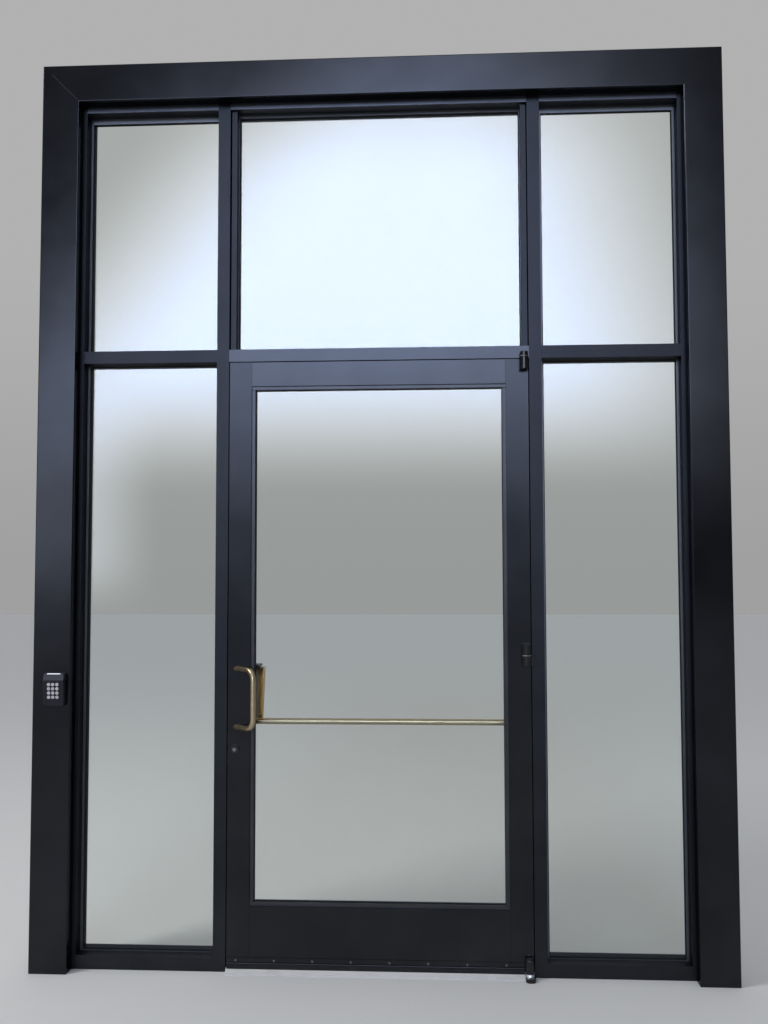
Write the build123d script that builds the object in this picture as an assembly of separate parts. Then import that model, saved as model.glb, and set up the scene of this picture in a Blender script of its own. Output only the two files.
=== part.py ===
"""Glass entrance door in its storefront frame: one right-hung aluminium and glass leaf that opens
to the street, two sidelights, a transom light over the door and flat folded casing all round.

Millimetres. The origin is on the floor, half-way across the door opening, in the plane of the
frame's street face. +X is to the right seen from the street, +Y goes indoors and +Z is up.
"""

import os
from math import atan2, degrees

from build123d import *

LOW = (Align.MIN, Align.MIN)
LOW3 = (Align.MIN, Align.MIN, Align.MIN)
SEATED = (Align.CENTER, Align.CENTER, Align.MIN)

# Door opening and lights, between the faces of the frame members
opening_width = 1066.8
opening_height = 2133.6
sidelight_width = 485.2
transom_light_height = 881.0

# Frame members: hollow aluminium extrusions with glazing pockets at mid depth
member_face = 44.45
member_depth = 114.3
member_wall = 3.2
extrusion_corner = 0.5
rail_groove_width = 1.0
rail_groove_depth = 0.6
pocket_width = 26.0
pocket_depth = 12.7
sill_height = 48.0

# Glass, glazing stops and gaskets of the fixed lights
glass_thickness = 6.35
glass_bite = 8.0
stop_thickness = 3.2
gasket_thickness = 3.0
gasket_reveal = 3.0
gasket_bite = 5.0
side_stop_lip = 8.0
sidelight_head_lip = 22.0
transom_head_lip = 13.0
flush_stop_lip = 2.0

# Transom fillers: hollow adapters that give the plain door jambs a glazing pocket above the door
filler_gap = 3.0
filler_width = 19.5
filler_wall = 2.2
filler_setback = 13.0
filler_tongue_width = 30.0

# Folded casing round the frame's street face
casing_width = 134.5
casing_depth = 52.0
casing_sheet = 3.0
casing_bend = 3.6
casing_reveal = 13.0
casing_head_reveal = 22.0
casing_joint = 0.4
casing_splice_rise = 484.0

# Threshold
threshold_height = 12.7
threshold_nose = 30.0
threshold_bevel = 18.0
threshold_edge = 3.0
threshold_depth = 90.0
threshold_skin = 3.2
threshold_foot = 16.0
threshold_end_gap = 0.3
flute_pitch = 6.2
flute_width = 3.0
flute_depth = 0.8

# Door leaf
door_gap = 3.0
door_bottom = 20.0
door_thickness = 44.45
stile_width = 79.4
top_rail_height = 86.4
bottom_rail_height = 203.2
door_wall = 3.2
rail_end_chamfer = 0.4
bead_lip = 14.0
bead_setback = 3.0
bead_chamfer = 1.6
bead_groove_width = 5.5
bead_groove_depth = 3.5
bead_gasket_lap = 3.0
door_glass_edge = 6.0
door_gasket_reveal = 1.0

# Door stops on the frame and their weatherstrip
stop_lip = 15.9
stop_depth = 24.0
stop_clearance = 3.05
weatherstrip_width = 6.0
weatherstrip_clearance = 0.3
hinge_strip_clearance = 2.2

# Sweep along the foot of the door
sweep_low = 29.6
sweep_high = 51.0
sweep_plate = 2.4
sweep_roll = 5.0
sweep_end_gap = 2.0
blade_thickness = 1.6
blade_slot_depth = 3.0
blade_clearance = 0.35

# Offset pivots
pivot_offset = 19.05
pivot_inset = 19.05
pivot_pin_radius = 6.0
pivot_pin_clearance = 0.08
knuckle_radius = 16.0
top_knuckle_radius = 14.3
floor_knuckle_radius = 15.0
pivot_lug = 12.0
pivot_play = 0.5
knuckle_edge = 0.8
top_pivot_rise = 2.8
top_knuckle_length = 45.4
top_bracket_length = 16.5
middle_pivot_rise = 26.6
middle_knuckle_length = 38.6
middle_bracket_length = 37.9
middle_leaf_lap = 10.0
middle_leaf_depth = 15.0
middle_leaf_clearance = 1.0
floor_base_height = 13.0
floor_base_front = 51.0
floor_base_side = 15.0
floor_washer_height = 8.5
floor_pivot_high = 70.0
washer_height = 1.0
washer_radius = 9.0
floor_washer_radius = 12.5
pin_engagement = 36.0
middle_pin_engagement = 30.0
floor_pin_drop = 14.0
pin_end_room = 2.0
floor_lug_drop = 6.0
middle_leaf_round = 4.0
floor_base_round = 14.0
floor_knuckle_round = 6.0

# Pull handle
pull_diameter = 19.05
pull_centres = 203.2
pull_height = 941.0
pull_mount_x = -496.7
pull_grip_x = -430.0
pull_projection = 62.0
pull_bend = 36.0

# Lock: cylinder, case, latch bolt and strike
lock_height = 762.0
cylinder_inset = 25.4
cylinder_radius = 14.3
collar_radius = 17.0
collar_height = 7.0
collar_taper = 2.0
plug_radius = 6.35
plug_clearance = 0.1
plug_stand = 0.8
keyway_width = 1.8
keyway_height = 8.0
keyway_depth = 6.0
case_length = 48.0
case_height = 112.0
case_depth = 25.0
faceplate_height = 160.0
faceplate_width = 22.4
faceplate_gap = 0.2
latch_width = 16.0
latch_height = 25.0
latch_length = 40.0
latch_clearance = 0.3
latch_recess = 0.5
latch_bevel = 7.0
strike_length = 112.0
strike_width = 30.0
strike_thickness = 2.4
strike_gap = 0.2
strike_hole_margin = 3.0
strike_opening_margin = 6.0

# Indoor push bar
push_diameter = 22.2
push_wall = 2.0
push_height = 848.0
push_projection = 50.5
push_bend = 32.0
push_flange_radius = 15.5
push_flange_height = 4.0

# Indoor exit paddle
paddle_inset = 33.4
paddle_width = 79.0
paddle_rise = 13.0
paddle_length = 179.0
paddle_wall = 3.0
paddle_foot_depth = 18.0
paddle_head_depth = 64.0
paddle_rim = 27.0
paddle_foot_gap = 19.5
paddle_pivot_rise = 12.0
paddle_pivot_depth = 9.0
paddle_pivot_radius = 4.0
paddle_pivot_clearance = 0.08
paddle_heel = 26.0
base_inset = 9.0
base_width = 32.0
base_depth = 15.0
base_ear = 7.0
base_ear_wall = 2.0
hood_width = 63.5
hood_height = 8.0
hood_gap = 6.0
hood_depth = 50.0
hood_lap = 2.0

# Closer on the indoor face of the top rail, and its folding arm
closer_spindle_back = 232.0
closer_spindle_depth = 31.0
shoe_back = 222.0
shoe_depth = 47.5
closer_drop = 40.6
closer_height = 40.0
closer_length = 225.0
closer_lock_reach = 82.0
closer_depth = 52.0
closer_round = 10.0
closer_cap_radius = 12.0
closer_cap_drop = 3.0
spindle_radius = 6.0
spindle_depth = 12.0
spindle_clearance = 0.08
arm_eye_radius = 14.0
arm_width = 20.0
arm_gap = 4.0
arm_thickness = 7.0
hub_gap = 0.3
forearm_gap = 3.0
forearm_thickness = 8.0
forearm_eye_radius = 13.0
elbow_pin_radius = 5.0
elbow_clearance = 0.5
shoe_pin_radius = 5.0
shoe_pin_clearance = 0.08
shoe_length = 60.0
shoe_width = 32.0
shoe_plate = 6.0
shoe_neck_radius = 9.0

# Keypad on the left casing
keypad_width = 74.0
keypad_height = 114.0
keypad_top_depth = 21.0
keypad_ridge_depth = 27.0
keypad_bottom_depth = 20.0
keypad_band = 24.0
keypad_corner = 9.0
keypad_edge = 2.0
keypad_offset = 15.2
keypad_z = 975.0
key_columns = 3
key_rows = 4
key_pitch_x = 14.8
key_pitch_z = 14.7
key_radius = 5.5
key_clearance = 0.35
key_stand = 1.6
key_rim_chamfer = 0.4
key_dish_radius = 4.6
key_dish_floor = 2.4
key_dish_depth = 0.8
key_depth = 6.0
key_travel = 1.2
key_block_x = -1.5
key_block_z = -3.7
light_bar_length = 48.0
light_bar_height = 5.0
light_bar_drop = 1.0
light_bar_flat = 0.2
light_bar_stand = 0.6
light_bar_seat = 4.0
light_bar_clearance = 0.1

# Wall and floor anchors
anchor_radius = 4.5
anchor_floor_rise = 150.0
anchor_low_spacing = 950.0
anchor_high_spacing = 900.0
anchor_head_drop = 153.5
head_anchor_spacing = 700.0

# Levels and lines worked out from the sizes above
half_opening = opening_width / 2
mullion_outer = half_opening + member_face
jamb_inner = mullion_outer + sidelight_width
jamb_outer = jamb_inner + member_face
bar_low = opening_height
bar_high = bar_low + member_face
head_low = bar_high + transom_light_height
head_high = head_low + member_face
glass_mid = member_depth / 2
glass_front = glass_mid - glass_thickness / 2
glass_back = glass_mid + glass_thickness / 2
casing_inner = jamb_inner + casing_reveal
casing_outer = casing_inner + casing_width
keypad_x = keypad_offset - (casing_inner + casing_outer) / 2
casing_low = head_low + casing_head_reveal
casing_high = casing_low + casing_width
leaf_half = half_opening - door_gap
leaf_top = opening_height - door_gap
stile_inner = leaf_half - stile_width
top_rail_low = leaf_top - top_rail_height
bottom_rail_high = door_bottom + bottom_rail_height
pivot_x = half_opening - pivot_inset
pivot_y = -pivot_offset
top_pivot_split = opening_height + top_pivot_rise
top_pivot_low = top_pivot_split - top_knuckle_length
top_pivot_high = top_pivot_split + top_bracket_length
middle_pivot_split = opening_height / 2 + middle_pivot_rise
middle_pivot_low = middle_pivot_split - middle_bracket_length
middle_pivot_high = middle_pivot_split + middle_knuckle_length
stop_front = door_thickness + stop_clearance
spindle_x = pivot_x - closer_spindle_back
spindle_y = door_thickness + closer_spindle_depth
shoe_x = pivot_x - shoe_back
shoe_y = door_thickness + shoe_depth
paddle_low = push_height + paddle_rise
paddle_high = paddle_low + paddle_length
paddle_pivot_z = paddle_low + paddle_pivot_rise
closer_high = leaf_top - closer_drop
closer_low = closer_high - closer_height
closer_lock_end = spindle_x - closer_lock_reach
arm_low = closer_high + arm_gap
forearm_low = arm_low + arm_thickness + forearm_gap
forearm_high = forearm_low + forearm_thickness
elbow_x = spindle_x + shoe_x - pivot_x
elbow_y = spindle_y + shoe_y - pivot_y
keypad_ridge_z = keypad_z + keypad_height / 2 - keypad_band


def block(x0, x1, y0, y1, z0, z1):
    """A box between two corners."""
    return Pos(x0, y0, z0) * Box(x1 - x0, y1 - y0, z1 - z0, align=LOW3)


def rod(x, y, z0, z1, radius):
    """An upright round bar."""
    return Pos(x, y, z0) * Cylinder(radius, z1 - z0, align=SEATED)


def rod_y(x, y0, y1, z, radius):
    """A round bar along +Y."""
    across = Plane(origin=(x, y0, z), x_dir=(1, 0, 0), z_dir=(0, 1, 0))
    return extrude(across * Circle(radius), amount=y1 - y0)


def rod_x(x0, x1, y, z, radius):
    """A round bar along +X."""
    across = Plane(origin=(x0, y, z), x_dir=(0, 1, 0), z_dir=(1, 0, 0))
    return extrude(across * Circle(radius), amount=x1 - x0)


def tube_section(width, depth, wall, near_pocket=False, far_pocket=False):
    """Section of a hollow member: width across the wall, depth through it, pockets at mid depth."""
    outer = RectangleRounded(width, depth, extrusion_corner, align=LOW)
    hollow = Pos(wall, wall) * Rectangle(width - 2 * wall, depth - 2 * wall, align=LOW)
    section = outer
    for wanted, start in ((near_pocket, 0), (far_pocket, width - pocket_depth)):
        if wanted:
            low = depth / 2 - pocket_width / 2
            pocket = Pos(start, low) * Rectangle(pocket_depth, pocket_width, align=LOW)
            skin = Pos(start - wall, low - wall) * Rectangle(
                pocket_depth + 2 * wall, pocket_width + 2 * wall, align=LOW
            )
            section -= pocket
            hollow -= skin
    return section - hollow


def upright(section, x, z0, z1, y=0.0):
    """A member that stands on its section."""
    return extrude(Pos(x, y, z0) * section, amount=z1 - z0)


def crosspiece(section, x0, x1, z, y=0.0):
    """A member that lies along X, with its section's width pointing up."""
    end = Plane(origin=(x1, y, z), x_dir=(0, 0, 1), z_dir=(-1, 0, 0))
    return extrude(end * section, amount=x1 - x0)


def profile_x(points, x0, x1):
    """A prism along X on an outline of (y, z) points."""
    outline = make_face(Polyline(*[(y, z) for y, z in points], close=True))
    end = Plane(origin=(x0, 0, 0), x_dir=(0, 1, 0), z_dir=(1, 0, 0))
    return extrude(end * outline, amount=x1 - x0)


def anchor_holes(x0, x1, heights):
    """Anchor holes bored along X through a jamb's outer wall."""
    return [rod_x(x0, x1, glass_mid, z, anchor_radius) for z in heights]


def save(name, *shapes):
    """Write one node, as a solid or as a group of separate solids."""
    solids = [solid for shape in shapes for solid in shape.solids()]
    whole = solids[0] if len(solids) == 1 else Compound(children=solids)
    export_step(whole, f"parts/{name}.step")


def frame_members():
    """Jambs, mullions, heads, transom bar, rails with a fine groove at mid height, and sills."""
    far = tube_section(member_face, member_depth, member_wall, far_pocket=True)
    near = tube_section(member_face, member_depth, member_wall, near_pocket=True)
    both = tube_section(member_face, member_depth, member_wall, near_pocket=True, far_pocket=True)
    groove_low = (member_face - rail_groove_width) / 2
    both -= Pos(groove_low, 0) * Rectangle(rail_groove_width, rail_groove_depth, align=LOW)
    sill = tube_section(sill_height, member_depth, member_wall, far_pocket=True)

    top = head_high - anchor_head_drop
    low = anchor_floor_rise
    heights = (low, low + anchor_low_spacing, top - anchor_high_spacing, top)
    left_jamb = upright(far, -jamb_outer, 0, head_high)
    right_jamb = upright(near, jamb_inner, 0, head_high)
    for hole in anchor_holes(-jamb_outer - 1, -jamb_outer + member_wall + 1, heights):
        left_jamb -= hole
    for hole in anchor_holes(jamb_outer - member_wall - 1, jamb_outer + 1, heights):
        right_jamb -= hole
    save("side_jambs", left_jamb, right_jamb)

    left_mullion = upright(near, -mullion_outer, 0, head_high)
    left_mullion -= strike_cutout()
    save("left_mullion", left_mullion)
    save("right_mullion", upright(far, half_opening, 0, head_high))

    centre_head = crosspiece(near, -half_opening, half_opening, head_low)
    for side in (-1, 1):
        x = side * head_anchor_spacing / 2
        centre_head -= rod(x, glass_mid, head_high - member_wall - 1, head_high + 1, anchor_radius)
    heads = [centre_head]
    rails = []
    sills = []
    for x0, x1 in ((-jamb_inner, -mullion_outer), (mullion_outer, jamb_inner)):
        heads.append(crosspiece(near, x0, x1, head_low))
        rails.append(crosspiece(both, x0, x1, bar_low))
        sills.append(crosspiece(sill, x0, x1, 0))
    save("frame_heads", *heads)
    save("side_rails", *rails)
    save("side_sills", *sills)
    save("transom_bar", crosspiece(far, -half_opening, half_opening, bar_low))


def filler_section():
    """Section of the left transom filler, from its tongue towards the glass."""
    depth = member_depth - 2 * filler_setback
    body = tube_section(filler_width, depth, filler_wall, far_pocket=True)
    low = depth / 2 - filler_tongue_width / 2
    tongue = Pos(-filler_gap, low) * Rectangle(filler_gap, filler_tongue_width, align=LOW)
    return body + tongue


def transom_fillers():
    left = upright(filler_section(), -half_opening + filler_gap, bar_high, head_low, filler_setback)
    save("transom_fillers", left, mirror(left, about=Plane.YZ))


def glazing_strips(light, lips, near, thickness, bite):
    """Four butt-jointed strips round a light, from the pocket floor to their lips."""
    x0, x1, z0, z1 = light
    side, low, high = lips
    y0, y1 = near, near + thickness
    strips = [
        block(x0 - bite, x0 + side, y0, y1, z0, z1),
        block(x1 - side, x1 + bite, y0, y1, z0, z1),
        block(x0 + side, x1 - side, y0, y1, z0 - bite, z0 + low),
        block(x0 + side, x1 - side, y0, y1, z1 - high, z1 + bite),
    ]
    return strips


def fixed_lights():
    """Panes, glazing stops and gaskets of the four sidelight panes and the transom light."""
    panes = {"side_panes": [], "transom_pane": []}
    stops = []
    gaskets = []
    filler_face = half_opening - filler_gap - filler_width
    flush = flush_stop_lip
    lights = []
    for x0, x1 in ((-jamb_inner, -mullion_outer), (mullion_outer, jamb_inner)):
        lights.append(("side_panes", (x0, x1, sill_height, bar_low), (side_stop_lip, flush, flush)))
        upper = (x0, x1, bar_high, head_low)
        lights.append(("side_panes", upper, (side_stop_lip, flush, sidelight_head_lip)))
    transom = (-filler_face, filler_face, bar_high, head_low)
    lights.append(("transom_pane", transom, (flush, flush, transom_head_lip)))

    for node, light, lips in lights:
        x0, x1, z0, z1 = light
        grow = glass_bite
        panes[node].append(block(x0 - grow, x1 + grow, glass_front, glass_back, z0 - grow, z1 + grow))
        bead_lips = [lip + gasket_reveal for lip in lips]
        outer_gasket = glass_front - gasket_thickness
        for y in (outer_gasket - stop_thickness, glass_back + gasket_thickness):
            stops += glazing_strips(light, lips, y, stop_thickness, pocket_depth)
        for y in (outer_gasket, glass_back):
            gaskets += glazing_strips(light, bead_lips, y, gasket_thickness, gasket_bite)
    for node, solids in panes.items():
        save(node, *solids)
    save("glazing_stops", *stops)
    save("glazing_gaskets", *gaskets)


def threshold():
    """Fluted saddle threshold, ribbed underneath, cut back round the floor pivot."""
    outline = [
        (-threshold_nose, 0),
        (-threshold_nose, threshold_edge),
        (-threshold_nose + threshold_bevel, threshold_height),
        (threshold_depth - threshold_bevel, threshold_height),
        (threshold_depth, threshold_edge),
        (threshold_depth, 0),
    ]
    end = half_opening - threshold_end_gap
    saddle = profile_x(outline, -end, end)
    roof = threshold_height - threshold_skin
    channels = (
        (-threshold_nose + threshold_bevel, -threshold_foot / 2),
        (threshold_foot / 2, threshold_depth - threshold_bevel),
    )
    for y0, y1 in channels:
        saddle -= block(-end - 1, end + 1, y0, y1, -1, roof)
    flat = threshold_nose + threshold_depth - 2 * threshold_bevel
    flutes = int(flat / flute_pitch) - 1
    first = (threshold_depth - threshold_nose - (flutes - 1) * flute_pitch - flute_width) / 2
    for number in range(flutes):
        y = first + number * flute_pitch
        groove_low = threshold_height - flute_depth
        saddle -= block(-end - 1, end + 1, y, y + flute_width, groove_low, threshold_height + 1)
    notch_x = pivot_x - floor_base_side - threshold_end_gap
    saddle -= block(notch_x, end + 1, -threshold_nose - 1, 0, -1, threshold_height + 1)
    saddle -= block(-end - 1, -leaf_half, -threshold_nose - 1, 0, -1, threshold_height + 1)
    save("threshold", saddle)


def casings():
    """Folded sheet casing: an open-backed channel up each side and over the head, mitred."""
    shell = Rectangle(casing_width, casing_depth, align=LOW)
    shell = fillet(shell.vertices().group_by(Axis.Y)[0], casing_bend)
    inside = Rectangle(casing_width - 2 * casing_sheet, casing_depth - casing_sheet, align=LOW)
    inside = fillet(inside.vertices().group_by(Axis.Y)[0], casing_bend - casing_sheet)
    channel = shell - Pos(casing_sheet, casing_sheet) * inside
    over = casing_width + 1
    head_run = crosspiece(channel, -casing_outer, casing_outer, casing_low, -casing_depth)
    right_run = upright(channel, casing_inner, 0, casing_high, -casing_depth)
    slack = casing_joint / 2
    corner = [
        (casing_inner - over, casing_low - over + slack),
        (casing_inner + over, casing_low + over + slack),
        (casing_inner + over, casing_low - over + slack),
    ]
    below = extrude(
        Plane(origin=(0, 0, 0), x_dir=(1, 0, 0), z_dir=(0, -1, 0))
        * make_face(Polyline(*corner, close=True)),
        amount=casing_depth + 1,
    )
    above = below.moved(Location((0, 0, -casing_joint)))
    above += block(casing_inner, casing_outer + 1, -casing_depth - 1, 0, -1, casing_low)
    head = head_run - below - mirror(below, about=Plane.YZ)
    right = right_run & above
    split_low = bar_high + casing_splice_rise - slack
    split_high = split_low + casing_joint
    front = -casing_depth - 1
    right -= block(casing_inner - 1, casing_outer + 1, front, 1, split_low, split_high)
    save("head_casing", head)
    save("right_casing", right)
    save("left_casing", mirror(right, about=Plane.YZ))


def door_stops():
    """Stops behind the closed leaf and their pile strip, low where the leaf's heel turns past it."""
    back = stop_front + stop_depth
    top = opening_height - stop_lip
    x_in = half_opening - stop_lip
    stops = [
        block(-half_opening, -x_in, stop_front, back, threshold_height, top),
        block(x_in, half_opening, stop_front, back, threshold_height, top),
        block(-half_opening, half_opening, stop_front, back, top, opening_height),
    ]
    save("door_stops", *stops)
    near = door_thickness + weatherstrip_clearance
    hinge_near = door_thickness + hinge_strip_clearance
    mid = half_opening - stop_lip / 2
    half = weatherstrip_width / 2
    mid_top = opening_height - stop_lip / 2
    heel = leaf_half - pivot_x
    heel_end = pivot_x - heel - hinge_strip_clearance
    under = mid_top - half
    over = mid_top + half
    hinge_strip = block(mid - half, mid + half, hinge_near, stop_front, threshold_height, over)
    hinge_strip += block(heel_end, mid, hinge_near, stop_front, under, over)
    strips = [
        block(-mid - half, -mid + half, near, stop_front, threshold_height, under),
        hinge_strip,
        block(-mid - half, heel_end, near, stop_front, under, over),
    ]
    save("door_weatherstrip", *strips)


def knuckle(z0, z1, radius):
    """A pivot's round body on its axis, with both ends eased."""
    body = rod(pivot_x, pivot_y, z0, z1, radius)
    return chamfer(body.edges().filter_by(GeomType.CIRCLE), knuckle_edge)


def pivot_lug_block(z0, z1, right, left):
    """The web that joins a pivot knuckle to the flat face behind it."""
    return block(pivot_x - left, pivot_x + right, pivot_y, 0, z0, z1)


def frame_pivots():
    """Frame halves of the top and middle pivots, the floor base and the bright washers."""
    pin_top = top_pivot_split - pin_engagement
    top = knuckle(top_pivot_split + washer_height, top_pivot_high, top_knuckle_radius)
    top += pivot_lug_block(top_pivot_split + washer_height, top_pivot_high, pivot_lug, pivot_lug)
    top += rod(pivot_x, pivot_y, pin_top, top_pivot_split + washer_height, pivot_pin_radius)

    seat = middle_pivot_split - washer_height
    middle = knuckle(middle_pivot_low, seat, knuckle_radius)
    lap = half_opening + middle_leaf_lap
    front = -middle_leaf_depth
    leaf = block(pivot_x, lap, front, -middle_leaf_clearance, middle_pivot_low, seat)
    leaf += block(half_opening + 1, lap, front, 0, middle_pivot_low, seat)
    corner = leaf.edges().filter_by(Axis.Y).group_by(Axis.Z)[0].group_by(Axis.X)[-1]
    middle += fillet(corner, middle_leaf_round)
    pin_high = middle_pivot_split + middle_pin_engagement
    middle += rod(pivot_x, pivot_y, seat, pin_high, pivot_pin_radius)
    save("pivot_brackets", top, middle)

    right = half_opening - threshold_end_gap
    plate_left = pivot_x - floor_base_side
    base = block(plate_left, right, -floor_base_front, -threshold_end_gap, 0, floor_base_height)
    base = fillet(base.edges().filter_by(Axis.Z).group_by(Axis.Y)[0], floor_base_round)
    stub_top = floor_pivot_high - floor_pin_drop
    base += rod(pivot_x, pivot_y, floor_base_height, stub_top, pivot_pin_radius)
    save("floor_pivot_base", base)

    bore = pivot_pin_radius + pivot_pin_clearance
    washers = []
    rests = (
        (top_pivot_split, top_pivot_split + washer_height, washer_radius),
        (seat, middle_pivot_split, washer_radius),
        (floor_base_height, floor_base_height + floor_washer_height, floor_washer_radius),
    )
    for low, high, radius in rests:
        washers.append(rod(pivot_x, pivot_y, low, high, radius) - rod(pivot_x, pivot_y, low, high, bore))
    save("pivot_washers", *washers)


def door_pivots():
    """Door halves of the three pivots, bored for the frame's pins."""
    bore = pivot_pin_radius + pivot_pin_clearance
    top = knuckle(top_pivot_low, top_pivot_split - pivot_play, knuckle_radius)
    top += pivot_lug_block(top_pivot_low, leaf_top, pivot_lug, knuckle_radius)
    bore_low = top_pivot_split - pin_engagement - pin_end_room
    top -= rod(pivot_x, pivot_y, bore_low, top_pivot_split + 1, bore)

    low = middle_pivot_split + pivot_play
    middle = knuckle(low, middle_pivot_high, knuckle_radius)
    middle += pivot_lug_block(low, middle_pivot_high, pivot_lug, knuckle_radius)
    bore_high = middle_pivot_split + middle_pin_engagement + pin_end_room
    middle -= rod(pivot_x, pivot_y, low - 1, bore_high, bore)

    low = floor_base_height + floor_washer_height + pivot_play
    floor = rod(pivot_x, pivot_y, low, floor_pivot_high, floor_knuckle_radius)
    floor = fillet(floor.edges().filter_by(GeomType.CIRCLE).group_by(Axis.Z)[-1], floor_knuckle_round)
    floor += pivot_lug_block(low, floor_pivot_high - floor_lug_drop, pivot_lug, floor_knuckle_radius)
    floor -= rod(pivot_x, pivot_y, low - 1, floor_pivot_high - floor_pin_drop + pin_end_room, bore)
    save("door_pivots", top, middle, floor)


def leaf_rail(height, low):
    """A hollow rail between the stiles, its ends chamfered so that each joint shows a fine line."""
    section = tube_section(height, door_thickness, door_wall)
    rail = crosspiece(section, -stile_inner, stile_inner, low)
    ends = rail.faces().filter_by(Axis.X).sort_by(Axis.X)
    outline = ends[0].outer_wire().edges() + ends[-1].outer_wire().edges()
    return chamfer(outline, rail_end_chamfer)


def door_leaf():
    """Stiles, rails, glass, beads and gaskets of the leaf."""
    stile = tube_section(stile_width, door_thickness, door_wall)
    lock_stile = upright(stile, -leaf_half, door_bottom, leaf_top)
    lock_stile -= lock_cutouts()
    save("lock_stile", lock_stile)
    save("hinge_stile", upright(stile, stile_inner, door_bottom, leaf_top))
    save("top_rail", leaf_rail(top_rail_height, top_rail_low))
    save("bottom_rail", leaf_rail(bottom_rail_height, door_bottom))

    mid = door_thickness / 2
    front = mid - glass_thickness / 2
    back = mid + glass_thickness / 2
    edge = door_glass_edge
    save(
        "door_pane",
        block(
            -stile_inner + edge, stile_inner - edge, front, back,
            bottom_rail_high + edge, top_rail_low - edge,
        ),
    )
    bead_depth = front - gasket_thickness - bead_setback
    beads = []
    for start, face in ((bead_setback, 1), (door_thickness - bead_setback - bead_depth, -1)):
        beads += door_beads(start, bead_depth, face)
    save("door_beads", *beads)
    light = (-stile_inner, stile_inner, bottom_rail_high, top_rail_low)
    lip = bead_lip + door_gasket_reveal
    gaskets = []
    for y in (front - gasket_thickness, back):
        gaskets += glazing_strips(light, (lip, lip, lip), y, gasket_thickness, -bead_gasket_lap)
    save("door_gaskets", *gaskets)


def bead_section(start, depth, face):
    """Bead section in (reach from the rail, y): grooved beside the rail, chamfered at the lip."""
    outside = start if face > 0 else start + depth
    inside = start + depth if face > 0 else start
    points = [
        (0, outside + face * bead_groove_depth),
        (bead_groove_width, outside + face * bead_groove_depth),
        (bead_groove_width, outside),
        (bead_lip - bead_chamfer, outside),
        (bead_lip, outside + face * bead_chamfer),
        (bead_lip, inside),
        (0, inside),
    ]
    return make_face(Polyline(*points, close=True))


def door_beads(start, depth, face):
    """Four snap-in beads: full width below and above the glass, uprights between them."""
    section = bead_section(start, depth, face)
    low, high = bottom_rail_high, top_rail_low
    foot = crosspiece(section, -stile_inner, stile_inner, low)
    head = mirror(foot, about=Plane(origin=(0, 0, (low + high) / 2), z_dir=(0, 0, 1)))
    left = upright(section, -stile_inner, low + bead_lip, high - bead_lip)
    return [foot, head, left, mirror(left, about=Plane.YZ)]


def door_sweep():
    """Sweep retainer across the door's street face and the vinyl blade it holds."""
    right = pivot_x - floor_knuckle_radius - sweep_end_gap
    left = -leaf_half + sweep_end_gap
    slot_mid = -sweep_plate - sweep_roll / 2
    low = sweep_low
    plate = block(left, right, -sweep_plate, 0, low, sweep_high)
    roll = rod_x(left, right, slot_mid, low + sweep_roll / 2, sweep_roll / 2)
    roll += block(left, right, slot_mid, -sweep_plate, low, low + sweep_roll)
    slot = block(
        left - 1, right + 1,
        slot_mid - blade_thickness / 2, slot_mid + blade_thickness / 2,
        low - 1, low + blade_slot_depth,
    )
    save("sweep_retainer", plate + roll - slot)
    foot = threshold_height + blade_clearance
    save(
        "sweep_blade",
        block(
            left, right,
            slot_mid - blade_thickness / 2, slot_mid + blade_thickness / 2,
            foot, low + blade_slot_depth,
        ),
    )


def pull_handle():
    """Offset pull: one round bar bent twice, its ends cut flush with the stile."""
    radius = pull_diameter / 2
    low = pull_height - pull_centres / 2
    high = pull_height + pull_centres / 2
    lean = (pull_grip_x - pull_mount_x) / pull_projection
    sunk = radius * 1.5
    start_x = pull_mount_x - lean * sunk
    path = FilletPolyline(
        (start_x, sunk, low),
        (pull_grip_x, -pull_projection, low),
        (pull_grip_x, -pull_projection, high),
        (start_x, sunk, high),
        radius=pull_bend,
    )
    bar = bent_bar(path, radius)
    trim = block(
        start_x - pull_diameter, pull_grip_x + pull_diameter, 0, sunk + pull_diameter,
        low - pull_diameter, high + pull_diameter,
    )
    save("pull_handle", bar - trim)


def bent_bar(path, radius, bore=0.0):
    """A round bar or tube along a path."""
    start = path ^ 0
    ring = start * Circle(radius)
    if bore:
        ring -= start * Circle(bore)
    return sweep(ring, path=path)


def push_bar():
    """Indoor push bar: one tube with bent ends on round flanges."""
    radius = push_diameter / 2
    end_x = leaf_half - stile_width / 2
    face = door_thickness
    out = face + push_projection
    path = FilletPolyline(
        (-end_x, face, push_height),
        (-end_x, out, push_height),
        (end_x, out, push_height),
        (end_x, face, push_height),
        radius=push_bend,
    )
    bar = bent_bar(path, radius, radius - push_wall)
    for x in (-end_x, end_x):
        flange = rod_y(x, face, face + push_flange_height, push_height, push_flange_radius)
        flange -= rod_y(x, face, face + push_flange_height, push_height, radius - push_wall)
        bar += flange
    save("push_bar", bar)


def lock_cutouts():
    """Openings in the lock stile for the faceplate, the latch bolt and the cylinder."""
    mid = door_thickness / 2
    half = faceplate_width / 2 + faceplate_gap
    tall = faceplate_height / 2 + faceplate_gap
    edge = -leaf_half
    cuts = block(
        edge - 1, edge + door_wall + 0.01, mid - half, mid + half, lock_height - tall, lock_height + tall
    )
    x = edge + cylinder_inset
    cuts += rod_y(x, -1, door_wall + 1, lock_height, cylinder_radius + faceplate_gap)
    return cuts


def strike_cutout():
    """Recess for the strike plate in the mullion and the opening behind it."""
    mid = door_thickness / 2
    half = strike_width / 2 + strike_gap
    tall = strike_length / 2 + strike_gap
    face = -half_opening
    recess = block(
        face - strike_thickness, face + 1, mid - half, mid + half, lock_height - tall, lock_height + tall
    )
    wide = latch_width / 2 + strike_opening_margin
    high = latch_height / 2 + strike_opening_margin
    opening = block(
        face - member_wall - 1, face + 1, mid - wide, mid + wide, lock_height - high, lock_height + high
    )
    return recess + opening


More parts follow.
